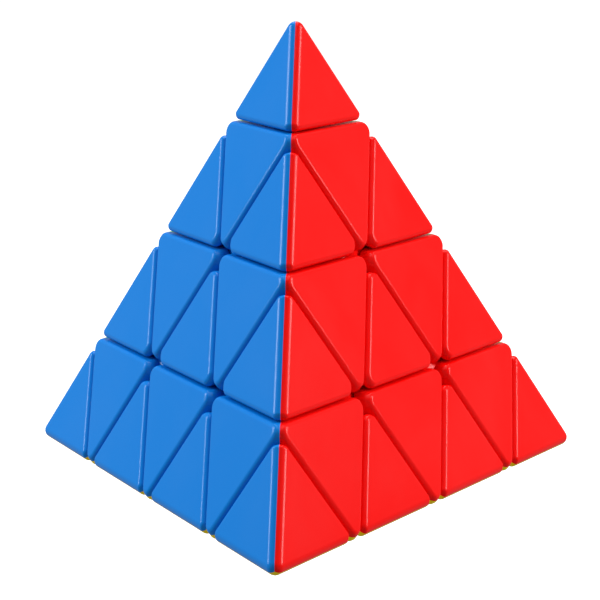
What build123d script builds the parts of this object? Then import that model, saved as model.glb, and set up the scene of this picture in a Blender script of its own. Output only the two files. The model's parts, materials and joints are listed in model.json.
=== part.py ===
"""Four-layer pyramid twisty puzzle, millimetres, +Z up.

The puzzle stands on its bottom face, with the origin at that face's centre and the front
corner towards -Y.  Its four turning axes meet at the centre of the core and run from there to
the corners: top, front, right and left.  Every piece is drawn about the centre of the core,
with heights measured from it along an axis, so a corner is at 3/4 of the pyramid's height and
the opposite face at minus 1/4.  The last section puts the pieces in their places.

Three cuts cross each axis.  The tip cut frees the tip, the cap cut frees the corner cap (one
axial piece and three wings), and the layer cut, through the centre, frees three layers
from the fourth.  Inside, each piece ends in a foot.  What lies below a layer cut reaches over
the feet above it with a tongue, and a cap reaches over the feet around it with a flange, so
that four spring-loaded screws in the core hold everything together.
"""

import os
from math import cos, degrees, radians, sin, sqrt, tan

from build123d import *

# Driving dimensions
edge_length = 110.0
tip_share = 0.246  # of the edge, from a corner to each cut
cap_share = 0.497
layer_share = 0.75
gap = 0.15  # from a cut to each of the two pieces beside it
edge_round = 1.6
corner_round = 2.0
rim_round = 0.95
wall = 1.8
join = 0.3  # by which solids that make one piece run into each other

# Interlock, as balls about the centre and angles from an axis
foot_bottom = 15.6
foot_top = 17.8
tongue_bottom = 18.1
tongue_top = 20.3
block_bottom = 20.6
tongue_height = 4.0
foot_angle = 39
flange_angle = 46
root_angle = 35
neck_radius = 12.8
cut_start = 0.5  # a ball about the centre that a cutting shell leaves out
hub_start = 1.0

# Core, screws and springs, as radii and as heights along an axis
core_radius = 8.0
arm_radius = 3.0
arm_top = 14.0
arm_play = 0.3
screw_radius = 1.5
screw_bottom = 6.0
pilot_radius = 1.52
pilot_bottom = 5.6
stalk_radius = 5.0
stalk_bottom = 9.0
web_bottom = 14.3
web_top = 16.3
web_hole_radius = 1.8
tube_radius = 6.0
tube_bore = 4.0
spring_radius = 2.8
spring_wire = 0.4
spring_turns = 6
seat_play = 0.25
washer_bottom = 25.3
washer_bore = 1.53
washer_play = 0.02  # to the spring below it and the screw head above it
head_bottom = 26.0
head_top = 28.4
head_radius = 3.5
recess_depth = 1.1
recess_width = 0.9
recess_length = 4.0

# Spindle of the tip and its snap groove
spindle_radius = 3.72
spindle_bottom = 33.0
spindle_bore = 2.2
groove_height = 38.0
groove_half = 1.0
groove_depth = 0.5
bead_half = 0.7
bead_depth = 0.46
bead_land = 0.02  # left round between the bead's two chamfers

# Sizes that follow
pyramid_height = edge_length * sqrt(2 / 3)
face_distance = pyramid_height / 4
corner_distance = 3 * face_distance
tip_cut = corner_distance - tip_share * pyramid_height
cap_cut = corner_distance - cap_share * pyramid_height
layer_cut = corner_distance - layer_share * pyramid_height
gap_angle = degrees(gap / tongue_bottom)
reach = edge_length
lean = 2 * sqrt(2) / 3  # sine of the angle between two axes, whose cosine is -1/3

# Each piece is drawn at a corner on +Z, beside an edge that runs towards +X
own = Vector(0, 0, 1)
ahead = Vector(lean, 0, -1 / 3)
port = Vector(-lean / 2, lean * sqrt(3) / 2, -1 / 3)
starboard = Vector(-lean / 2, -lean * sqrt(3) / 2, -1 / 3)
around = (own, ahead, port, starboard)
upward = (Align.CENTER, Align.CENTER, Align.MIN)


def level(direction, height):
    """The plane square to an axis at a height along it."""
    return Plane(origin=direction * height, z_dir=direction)


def rod(radius, low, high, direction=own):
    """A cylinder about an axis between two heights."""
    with BuildPart(level(direction, low)) as solid:
        Cylinder(radius, high - low, align=upward)
    return solid.part


def cone(angle, direction=own):
    """Everything within an angle of an axis, out to well beyond the feet."""
    with BuildPart(level(direction, 0)) as solid:
        Cone(0, 2 * block_bottom * tan(radians(angle)), 2 * block_bottom, align=upward)
    return solid.part


def shell(inner, outer):
    """The hollow ball between two radii."""
    with BuildPart() as solid:
        Sphere(outer)
        Sphere(inner, mode=Mode.SUBTRACT)
    return solid.part


def trimmed(start, above=(), below=(), inside=None, outside=()):
    """A solid cut off at heights along the axes, and by cones about them.

    above and below hold pairs of an axis number and a height.  outside holds cones to cut
    away, and inside is the one cone to keep to.
    """
    with BuildPart() as solid:
        add(start)
        for number, height in above:
            split(bisect_by=level(around[number], height + gap), keep=Keep.TOP)
        for number, height in below:
            split(bisect_by=level(around[number], height - gap), keep=Keep.BOTTOM)
        if inside is not None:
            add(inside, mode=Mode.INTERSECT)
        for taken in outside:
            add(taken, mode=Mode.SUBTRACT)
    return solid.part


def sharp_pyramid(distance):
    """A pyramid with its four faces at a distance from the centre."""
    with BuildPart() as solid:
        Box(4 * reach, 4 * reach, 4 * reach)
        for direction in around:
            split(bisect_by=level(direction, -distance), keep=Keep.TOP)
    return solid.part


with BuildPart() as skin:
    add(sharp_pyramid(face_distance))
    fillet(skin.edges(), edge_round)
skin_core = sharp_pyramid(face_distance - edge_round)


def rim_of(piece):
    """The edges where the outer skin of a piece meets its cut faces."""
    seen = {}
    for face in piece.faces():
        point = Vertex(face.position_at(0.5, 0.5))
        if abs(skin_core.distance_to(point) - edge_round) < 1e-3:
            for edge in face.edges():
                seen[edge] = seen.get(edge, 0) + 1
    return [edge for edge, count in seen.items() if count == 1]


def block(above, below=()):
    """The outer block of a piece: its cell between the cuts, rounded, under the skin."""
    with BuildPart() as whole:
        Box(4 * reach, 4 * reach, 4 * reach)
    with BuildPart() as cell:
        add(trimmed(whole.part, above, below))
        inner_edges = [edge for edge in cell.edges() if (edge @ 0.5).length < 1.9 * reach]
        if inner_edges:
            fillet(inner_edges, corner_round)
    with BuildPart() as solid:
        add(skin.part)
        add(cell.part, mode=Mode.INTERSECT)
        fillet(rim_of(solid.part), rim_round)
    return solid.part


def cavity(above, below=(), taken=()):
    """The hollow of a piece, behind its walls and clear of the solids named."""
    raised = [(number, height + wall) for number, height in above]
    lowered = [(number, height - wall) for number, height in below]
    return trimmed(sharp_pyramid(face_distance - wall), raised, lowered, outside=taken)


def layers(*numbers, height=layer_cut):
    """The same height along several axes."""
    return [(number, height) for number in numbers]


foot_shell = shell(foot_bottom, foot_top)
tongue_shell = shell(tongue_bottom, tongue_top)
neck_shell = shell(foot_top - join, block_bottom + join)
hub = shell(hub_start, block_bottom + wall)
neck_walls = [rod(neck_radius + wall, 0, reach, direction) for direction in around[:2]]
around_necks = [rod(neck_radius + gap, 0, reach, direction) for direction in around]
around_feet = [cone(foot_angle + gap_angle, direction) for direction in around]
around_flanges = [cone(flange_angle + gap_angle, direction) for direction in around]
around_tongues = [cone(flange_angle + 2 * gap_angle, direction) for direction in around]
cap_neck = trimmed(
    rod(neck_radius - gap, 0, cap_cut + wall),
    outside=[shell(cut_start, block_bottom)],
    above=[(0, foot_bottom / 2)],
)
foot_cone = cone(foot_angle - gap_angle)
flange_cone = cone(flange_angle - gap_angle)
root_cone = cone(root_angle)

# Tip, with the hollow spindle that snaps into the axial piece
tip_block = block(above=[(0, tip_cut)])
tip_cavity = cavity(above=[(0, tip_cut)])
spindle = rod(spindle_radius, spindle_bottom, tip_cut + wall)
spindle_hole = rod(spindle_bore, spindle_bottom, tip_cut + 2 * wall)
with BuildPart(level(own, groove_height)) as bead:
    Cylinder(spindle_radius + bead_depth, 2 * bead_half)
    chamfer(bead.edges().filter_by(GeomType.CIRCLE), bead_depth - bead_land)
with BuildPart() as tip:
    add(tip_block)
    add(spindle)
    add(bead.part)
    add(tip_cavity, mode=Mode.SUBTRACT)
    add(spindle_hole, mode=Mode.SUBTRACT)

# Axial piece, with its stalk on the core's arm, its foot and flange, and the spring tube
axial_below = [(0, tip_cut)] + layers(1, 2, 3)
axial_block = block([(0, cap_cut)], axial_below)
axial_cavity = cavity([(0, cap_cut)], axial_below, [rod(tube_radius, 0, reach)])
axial_joined = [
    trimmed(foot_shell, below=layers(1, 2, 3), inside=foot_cone),
    trimmed(tongue_shell, below=layers(1, 2, 3, height=tongue_height), inside=flange_cone),
    trimmed(neck_shell, below=layers(1, 2, 3), inside=root_cone),
    trimmed(cap_neck, below=layers(1, 2, 3)),
    rod(stalk_radius, stalk_bottom, web_top + join),
]
axial_bores = [
    rod(arm_radius + arm_play, 0, web_bottom),
    rod(web_hole_radius, 0, reach),
    rod(tube_bore, web_top, reach),
    rod(tube_bore + groove_depth, groove_height - groove_half, groove_height + groove_half),
]
with BuildPart() as axial:
    add(axial_block)
    add(axial_cavity, mode=Mode.SUBTRACT)
    add(axial_joined)
    add(axial_bores, mode=Mode.SUBTRACT)

# Wing, at the own corner on the edge ahead
wing_above = [(0, cap_cut), (1, layer_cut)]
wing_block = block(wing_above)
wing_cavity = cavity(wing_above)
wing_joined = [
    trimmed(foot_shell, layers(1), layers(2, 3), foot_cone),
    trimmed(tongue_shell, layers(1, height=tongue_height), layers(2, 3), flange_cone),
    trimmed(neck_shell, layers(1, height=tongue_height), layers(2, 3), root_cone),
    trimmed(cap_neck, layers(1), layers(2, 3)),
]
with BuildPart() as wing:
    add(wing_block)
    add(wing_cavity, mode=Mode.SUBTRACT)
    add(wing_joined)

# Middle piece, on the edge between the own corner and the one ahead
middle_above = layers(0, 1)
middle_below = [(0, cap_cut), (1, cap_cut)] + layers(2, 3)
middle_block = block(middle_above, middle_below)
middle_cavity = cavity(middle_above, middle_below, [hub] + neck_walls)
middle_joined = [
    trimmed(foot_shell, layers(0, 1), layers(2, 3), outside=around_feet[:2]),
    trimmed(
        tongue_shell,
        layers(0, 1, height=tongue_height),
        layers(2, 3, height=tongue_height),
        outside=around_flanges[:2],
    ),
    trimmed(neck_shell, layers(0, 1, height=tongue_height), layers(2, 3), outside=around_tongues[:2]),
]
with BuildPart() as middle:
    add(middle_block)
    add(middle_cavity, mode=Mode.SUBTRACT)
    Sphere(block_bottom, mode=Mode.SUBTRACT)
    add(around_necks[:2], mode=Mode.SUBTRACT)
    add(middle_joined)

# Centre piece, on the face opposite the own corner
centre_above = layers(1, 2, 3)
centre_block = block(centre_above)
centre_joined = [
    trimmed(foot_shell, centre_above, outside=around_feet[1:]),
    trimmed(neck_shell, layers(1, 2, 3, height=tongue_height), outside=around_tongues[1:]),
]
with BuildPart() as centre:
    add(centre_block)
    Sphere(block_bottom, mode=Mode.SUBTRACT)
    add(around_necks[1:], mode=Mode.SUBTRACT)
    add(centre_joined)

# Core, with an arm and a pilot hole for each screw
arms = [rod(arm_radius, 0, arm_top, direction) for direction in around]
pilots = [rod(pilot_radius, pilot_bottom, arm_top, direction) for direction in around]
with BuildPart() as core:
    Sphere(core_radius)
    add(arms)
    add(pilots, mode=Mode.SUBTRACT)

# Screw, washer and spring of one arm
with BuildPart(level(own, screw_bottom)) as screw:
    Cylinder(screw_radius, head_bottom - screw_bottom, align=upward)
    chamfer(screw.edges().sort_by(Axis.Z)[0], screw_radius / 3)
    with Locations((0, 0, head_bottom - screw_bottom)):
        Cylinder(head_radius, head_top - head_bottom, align=upward)
    fillet(screw.edges().sort_by(Axis.Z)[-1], recess_depth / 2)
    with Locations((0, 0, head_top - screw_bottom - recess_depth)):
        Box(recess_length, recess_width, recess_depth, align=upward, mode=Mode.SUBTRACT)
        Box(recess_width, recess_length, recess_depth, align=upward, mode=Mode.SUBTRACT)
with BuildPart(level(own, washer_bottom)) as washer:
    Cylinder(head_radius, head_bottom - washer_bottom - washer_play, align=upward)
    Cylinder(washer_bore, head_bottom, align=upward, mode=Mode.SUBTRACT)
coil_bottom = web_top + seat_play + spring_wire
coil_height = washer_bottom - washer_play - spring_wire - coil_bottom
with BuildPart() as spring:
    with BuildLine() as coil:
        Helix(coil_height / spring_turns, coil_height, spring_radius, center=(0, 0, coil_bottom))
    with BuildSketch(Plane(origin=coil.line @ 0, z_dir=coil.line % 0)):
        Circle(spring_wire)
    sweep()

# Places: each corner's axis, and the seat of a piece at one corner beside the edge to another
corners = ("top", "front", "right", "left")
axis_of = {"top": own}
for corner, azimuth in (("front", -90), ("right", 30), ("left", 150)):
    azimuth = radians(azimuth)
    axis_of[corner] = Vector(lean * cos(azimuth), lean * sin(azimuth), -1 / 3)
colour_opposite = {"top": "yellow", "front": "green", "left": "red", "right": "blue"}


def seat(corner, beside):
    """The place for a piece drawn at the own corner, and the colours of its two sides."""
    direction = axis_of[corner]
    forward = axis_of[beside] + direction / 3
    place = Plane(origin=(0, 0, face_distance), x_dir=forward, z_dir=direction)
    rest = [name for name in corners if name not in (corner, beside)]
    rest.sort(key=lambda name: place.y_dir.dot(axis_of[name]))
    starboard_corner, port_corner = rest
    return place.location, colour_opposite[starboard_corner], colour_opposite[port_corner]


def part_of(piece, *normals):
    """The part of a piece on the positive side of planes through its axis."""
    with BuildPart() as solid:
        add(piece.part)
        for normal in normals:
            split(bisect_by=Plane(origin=(0, 0, 0), z_dir=normal), keep=Keep.TOP)
    return solid.part


to_port = Vector(0, 1, 0)
third_side = Vector(sqrt(3) / 2, 1 / 2, 0)
tip_third = part_of(tip, to_port, third_side)
axial_third = part_of(axial, to_port, third_side)
wing_halves = part_of(wing, to_port), part_of(wing, -to_port)
middle_halves = part_of(middle, to_port), part_of(middle, -to_port)

# Every node's solids, by the node's name
nodes = {}


def put(name, solid, place):
    """Adds a solid in its place to a node."""
    nodes.setdefault(name, []).append(solid.moved(place))


for corner in corners:
    for beside in corners:
        if corner == beside:
            continue
        place, port_colour, starboard_colour = seat(corner, beside)
        put(f"{corner}_tip_{port_colour}", tip_third, place)
        put(f"{corner}_axial_{port_colour}", axial_third, place)
        if corner == "top":
            wing_name = "top_wings"
        elif beside == "top":
            wing_name = f"{corner}_upper_wing"
        else:
            wing_name = f"{corner}_base_wing"
        put(f"{wing_name}_{port_colour}", wing_halves[0], place)
        put(f"{wing_name}_{starboard_colour}", wing_halves[1], place)
        if corners.index(corner) < corners.index(beside):
            middle_name = "upper_middle" if corner == "top" else f"{corner}_{beside}_middle"
            put(f"{middle_name}_{port_colour}", middle_halves[0], place)
            put(f"{middle_name}_{starboard_colour}", middle_halves[1], place)
    beside = "front" if corner == "top" else "top"
    place = seat(corner, beside)[0]
    put(f"centre_{colour_opposite[corner]}", centre.part, place)
    put("core_screws", screw.part, place)
    put("screw_washers", washer.part, place)
    put("screw_springs", spring.part, place)
put("core", core.part, seat("top", "front")[0])

os.makedirs("parts", exist_ok=True)
for name, solids in nodes.items():
    with BuildPart() as node:
        add(solids)
    node.part.label = name
    export_step(node.part, f"parts/{name}.step")
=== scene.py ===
import json
from math import cos, radians, sin

import bpy
from mathutils import Matrix, Vector


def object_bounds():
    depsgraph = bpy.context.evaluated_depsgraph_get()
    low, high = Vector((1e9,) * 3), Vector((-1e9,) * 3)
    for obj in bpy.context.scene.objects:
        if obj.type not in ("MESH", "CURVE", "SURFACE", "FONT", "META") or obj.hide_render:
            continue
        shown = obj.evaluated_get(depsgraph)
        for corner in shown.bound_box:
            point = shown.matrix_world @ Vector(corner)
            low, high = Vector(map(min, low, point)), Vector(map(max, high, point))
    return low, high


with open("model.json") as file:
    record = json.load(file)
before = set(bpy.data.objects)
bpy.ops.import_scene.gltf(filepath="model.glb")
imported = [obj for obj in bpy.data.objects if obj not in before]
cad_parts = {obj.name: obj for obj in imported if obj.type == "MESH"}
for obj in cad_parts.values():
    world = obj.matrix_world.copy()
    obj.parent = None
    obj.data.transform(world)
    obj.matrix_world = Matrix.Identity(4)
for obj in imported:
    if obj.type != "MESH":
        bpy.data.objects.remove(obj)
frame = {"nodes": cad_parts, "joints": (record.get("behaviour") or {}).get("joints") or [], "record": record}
cadLow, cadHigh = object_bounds()
nodes = frame["nodes"]


# A number on its way between shader nodes, so that shader maths reads as maths
class Signal:
    def __init__(self, sheet, socket):
        self.sheet = sheet
        self.socket = socket

    def maths(self, operation, first, second):
        return self.sheet.node("ShaderNodeMath", {"operation": operation}, {0: first, 1: second})

    def __add__(self, other):
        return self.maths("ADD", self, other)

    def __mul__(self, other):
        return self.maths("MULTIPLY", self, other)

    def __sub__(self, other):
        return self.maths("SUBTRACT", self, other)

    def __rsub__(self, other):
        return self.maths("SUBTRACT", other, self)

    __radd__ = __add__
    __rmul__ = __mul__


# A material being built, node by node
class Sheet:
    def __init__(self, name):
        self.material = bpy.data.materials.new(name)
        self.material.use_nodes = True
        self.tree = self.material.node_tree
        self.tree.nodes.clear()

    def node(self, kind, settings=None, inputs=None, output=0):
        made = self.tree.nodes.new(kind)
        for key, value in (settings or {}).items():
            if key == "stops":
                # a ramp's two ends: position and grey level
                for stop, (position, grey) in zip(made.color_ramp.elements, value):
                    stop.position = position
                    stop.color = (grey, grey, grey, 1)
            else:
                setattr(made, key, value)
        for key, value in (inputs or {}).items():
            if isinstance(value, Signal):
                self.tree.links.new(value.socket, made.inputs[key])
            else:
                made.inputs[key].default_value = value
        return Signal(self, made.outputs[output]) if made.outputs else made

    # the place on the piece, in metres
    def place(self):
        return self.node("ShaderNodeTexCoord", output="Object")

    def noise(self, size, detail, distortion=0.0):
        return self.node(
            "ShaderNodeTexNoise",
            {"noise_dimensions": "3D"},
            {"Vector": self.place(), "Scale": 1 / size, "Detail": detail, "Distortion": distortion},
        )

    def finish(self, surface):
        self.node("ShaderNodeOutputMaterial", inputs={"Surface": surface})
        return self.material


# Moulded plastic, coloured right through, with a satin polish
plastic = {
    "tones": {
        "blue": (0.002, 0.208, 0.690),
        "red": (0.950, 0.003, 0.002),
        "green": (0.004, 0.330, 0.055),
        "yellow": (0.960, 0.720, 0.004),
    },
    "paler": 0.006,  # how far the palest flow marks go towards white
    "flow": {"size": 0.020, "detail": 3.0, "distortion": 0.6},
    "flowStops": ((0.35, 0.0), (0.75, 1.0)),
    "handling": {"size": 0.006, "detail": 4.0},
    "scuffs": {"size": 0.0016, "detail": 6.0, "distortion": 1.2},
    "scuffStops": ((0.66, 0.0), (0.80, 1.0)),
    "scuffRoughness": 0.05,
    "roughness": 0.20,
    "roughnessSpread": 0.04,
    "grain": {"size": 0.00045, "detail": 2.0},
    "grainDepth": 0.000010,
    "grainStrength": 0.5,
    "sink": {"size": 0.013, "detail": 1.0},
    "sinkDepth": 0.000014,
    "sinkStrength": 0.35,
    "refraction": 1.42,
    "shine": 0.14,
    "coat": 0.02,
    "coatRoughness": 0.12,
}
coreGloss = 0.7  # of the outer pieces' gloss


def mouldedPlastic(name, tone, recipe, gloss=1.0):
    sheet = Sheet(name)
    flow = sheet.noise(**recipe["flow"])
    handling = sheet.noise(**recipe["handling"])
    scuffs = sheet.noise(**recipe["scuffs"])
    grain = sheet.noise(**recipe["grain"])
    sink = sheet.noise(**recipe["sink"])
    pale = tuple(part + (1 - part) * recipe["paler"] for part in tone)
    marks = sheet.node("ShaderNodeValToRGB", {"stops": recipe["flowStops"]}, {0: flow})
    colour = sheet.node(
        "ShaderNodeMix",
        {"data_type": "RGBA"},
        {"Factor": marks, "A": tone + (1,), "B": pale + (1,)},
        output="Result",
    )
    worn = sheet.node("ShaderNodeValToRGB", {"stops": recipe["scuffStops"]}, {0: scuffs})
    level = recipe["roughness"] / gloss - recipe["roughnessSpread"] / 2
    roughness = level + recipe["roughnessSpread"] * handling + recipe["scuffRoughness"] * worn
    sinkBump = sheet.node(
        "ShaderNodeBump",
        inputs={
            "Strength": recipe["sinkStrength"],
            "Distance": recipe["sinkDepth"],
            "Height": sink,
        },
    )
    grainBump = sheet.node(
        "ShaderNodeBump",
        inputs={
            "Strength": recipe["grainStrength"],
            "Distance": recipe["grainDepth"],
            "Height": grain,
            "Normal": sinkBump,
        },
    )
    shader = sheet.node(
        "ShaderNodeBsdfPrincipled",
        inputs={
            "Base Color": colour,
            "Roughness": roughness,
            "Normal": grainBump,
            "IOR": recipe["refraction"],
            "Specular IOR Level": recipe["shine"],
            "Coat Weight": recipe["coat"],
            "Coat Roughness": recipe["coatRoughness"],
        },
    )
    return sheet.finish(shader)


# Plated screws and washers, and spring wire, with fine lines from turning and drawing
steelMarks = {
    "lineDetail": 3.0,
    "lineDepth": 0.00001,
    "lineStrength": 0.3,
    "bloomLines": 12,  # how many lines wide a patch of bloom is
    "bloomDetail": 2.0,
    "bloomTone": 0.8,
    "roughnessSpread": 0.1,
}
steel = {
    "screw": {"tone": (0.62, 0.62, 0.64), "roughness": 0.28, "lineSize": 0.0004, **steelMarks},
    "spring": {"tone": (0.50, 0.50, 0.53), "roughness": 0.36, "lineSize": 0.0002, **steelMarks},
}


def turnedSteel(name, recipe):
    sheet = Sheet(name)
    lines = sheet.noise(recipe["lineSize"], recipe["lineDetail"])
    bloom = sheet.noise(recipe["lineSize"] * recipe["bloomLines"], recipe["bloomDetail"])
    dark = tuple(part * recipe["bloomTone"] for part in recipe["tone"])
    colour = sheet.node(
        "ShaderNodeMix",
        {"data_type": "RGBA"},
        {"Factor": bloom, "A": dark + (1,), "B": recipe["tone"] + (1,)},
        output="Result",
    )
    bump = sheet.node(
        "ShaderNodeBump",
        inputs={
            "Strength": recipe["lineStrength"],
            "Distance": recipe["lineDepth"],
            "Height": lines,
        },
    )
    level = recipe["roughness"] - recipe["roughnessSpread"] / 2
    shader = sheet.node(
        "ShaderNodeBsdfPrincipled",
        inputs={
            "Base Color": colour,
            "Metallic": 1.0,
            "Roughness": level + recipe["roughnessSpread"] * lines,
            "Normal": bump,
        },
    )
    return sheet.finish(shader)


finishes = {
    f"{colour}_plastic": mouldedPlastic(f"{colour}Plastic", tone, plastic)
    for colour, tone in plastic["tones"].items()
}
finishes["core_plastic"] = mouldedPlastic("corePlastic", plastic["tones"]["blue"], plastic, coreGloss)
finishes["screw_steel"] = turnedSteel("screwSteel", steel["screw"])
finishes["spring_steel"] = turnedSteel("springSteel", steel["spring"])
for entry in frame["record"]["subparts"]:
    for holder in nodes[entry["node"]].material_slots:
        holder.material = finishes[entry["material_slot"]]
print("finishes set:", len(finishes))

# Pale floor, wide enough to reach past every view and low enough to clear the turning corners.
# It is seen directly only, and adds no reflection or bounced light.
floor = {"width": 6.0, "drop": 0.03, "tone": (0.35, 0.35, 0.35), "roughness": 0.9, "glow": 0.95}


def paleFloor(recipe):
    bpy.ops.object.select_all(action="DESELECT")
    bpy.ops.mesh.primitive_plane_add(size=recipe["width"], location=(0, 0, -recipe["drop"]))
    ground = bpy.context.object
    ground.name = "floor"
    ground.visible_glossy = False
    ground.visible_diffuse = False
    sheet = Sheet("paleFloor")
    shader = sheet.node(
        "ShaderNodeBsdfPrincipled",
        inputs={
            "Base Color": recipe["tone"] + (1,),
            "Roughness": recipe["roughness"],
            "Emission Color": (1, 1, 1, 1),
            "Emission Strength": recipe["glow"],
        },
    )
    ground.data.materials.append(sheet.finish(shader))


paleFloor(floor)

# Studio: an even pale surround and soft boxes, aimed at the middle of the puzzle
sideBox = {"height": 27, "distance": 0.85, "width": 0.22, "tall": 0.6, "power": 6.2}
highBox = {"distance": 0.9, "width": 0.6}
studio = {
    "surround": 0.33,
    "boxes": {
        "leftBox": {"azimuth": -102, **sideBox},
        "rightBox": {"azimuth": 98, **sideBox},
        "backBox": {"azimuth": 180, "height": 58, "tall": 0.5, "power": 3.4, **highBox},
        "overhead": {"azimuth": 0, "height": 85, "tall": 0.6, "power": 2.0, **highBox},
    },
}


# The direction towards a place at this azimuth, from the front to the right, and height, in degrees
def fromAngle(azimuth, height):
    return Vector(
        (
            sin(radians(azimuth)) * cos(radians(height)),
            -cos(radians(azimuth)) * cos(radians(height)),
            sin(radians(height)),
        )
    )


def lightStudio(recipe):
    world = bpy.data.worlds.new("studio")
    world.use_nodes = True
    surround = world.node_tree.nodes["Background"]
    surround.inputs["Color"].default_value = (1, 1, 1, 1)
    surround.inputs["Strength"].default_value = recipe["surround"]
    bpy.context.scene.world = world
    middle = (cadLow + cadHigh) / 2
    for name, box in recipe["boxes"].items():
        light = bpy.data.lights.new(name, "AREA")
        light.shape = "RECTANGLE"
        light.size = box["width"]
        light.size_y = box["tall"]
        light.energy = box["power"]
        lamp = bpy.data.objects.new(name, light)
        bpy.context.scene.collection.objects.link(lamp)
        towards = fromAngle(box["azimuth"], box["height"])
        lamp.location = middle + towards * box["distance"]
        lamp.rotation_euler = towards.to_track_quat("Z", "Y").to_euler()


lightStudio(studio)

# Camera: the angle it looks from, its distance, and the point it looks at
camera = {
    "azimuth": 3.24,
    "height": 11.09,
    "distance": 0.44385,
    "lens": 141.81,
    "sideways": 0.00077,
    "upwards": 0.01208,
    "sensor": 36,
    "near": 0.01,
}


def placeCamera(recipe):
    azimuth, height = radians(recipe["azimuth"]), radians(recipe["height"])
    back = fromAngle(recipe["azimuth"], recipe["height"])
    right = Vector((cos(azimuth), sin(azimuth), 0))
    up = Vector((-sin(azimuth) * sin(height), cos(azimuth) * sin(height), cos(height)))
    turn = Matrix((right, up, back)).transposed().to_4x4()
    coreHeight = frame["joints"][0]["pos_m"][2]
    target = Vector((0, 0, coreHeight)) + right * recipe["sideways"] + up * recipe["upwards"]
    view = bpy.data.cameras.new("camera")
    view.lens = recipe["lens"]
    view.sensor_width = recipe["sensor"]
    view.clip_start = recipe["near"]
    holder = bpy.data.objects.new("camera", view)
    bpy.context.scene.collection.objects.link(holder)
    holder.matrix_world = Matrix.Translation(target + back * recipe["distance"]) @ turn
    bpy.context.scene.camera = holder


placeCamera(camera)
bpy.context.scene.view_settings.view_transform = "Standard"
print("studio and camera placed")
